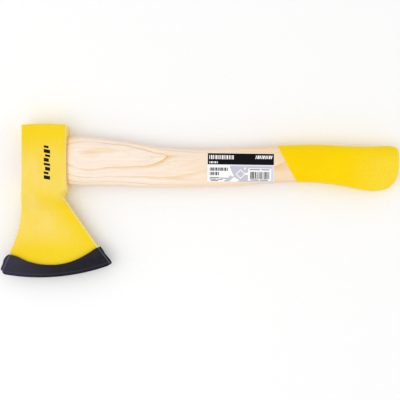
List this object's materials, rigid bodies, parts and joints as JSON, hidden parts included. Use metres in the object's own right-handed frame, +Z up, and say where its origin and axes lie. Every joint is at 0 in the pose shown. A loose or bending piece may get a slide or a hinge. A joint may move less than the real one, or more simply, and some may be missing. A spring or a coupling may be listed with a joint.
{
  "type": "hatchet",
  "caption": "Small one-hand hatchet: painted steel head wedged on a curved ash handle with a dipped grip, a paper label and a slip-on blade guard.",
  "frame": {"origin": "on the lower cheek's flat face, under the middle of the eye", "axes": "+X along the handle from the eye to the butt, +Y from the cutting edge to the poll, +Z up through the thickness as the hatchet lies on its side"},
  "size_m": [0.3835, 0.1472, 0.027],
  "materials": {
    "head_paint": "satin",
    "handle_wood": "satin",
    "wedge_wood": "matte",
    "wedge_steel": "satin",
    "grip_coat": "gloss",
    "label_paper": "satin",
    "guard_plastic": "matte"
  },
  "bodies": {
    "hatchet": {"axe_head": "head_paint", "handle": "handle_wood", "wood_wedge": "wedge_wood", "ring_wedge": "wedge_steel", "grip_coating": "grip_coat", "paper_label": "label_paper"},
    "guard": {"edge_guard": "guard_plastic"}
  },
  "joints": [
    {"name": "guard_slide", "type": "slide", "parent": "hatchet", "child": "guard", "axis": [0, -1, 0], "range_m": [0, 0.035]}
  ]
}
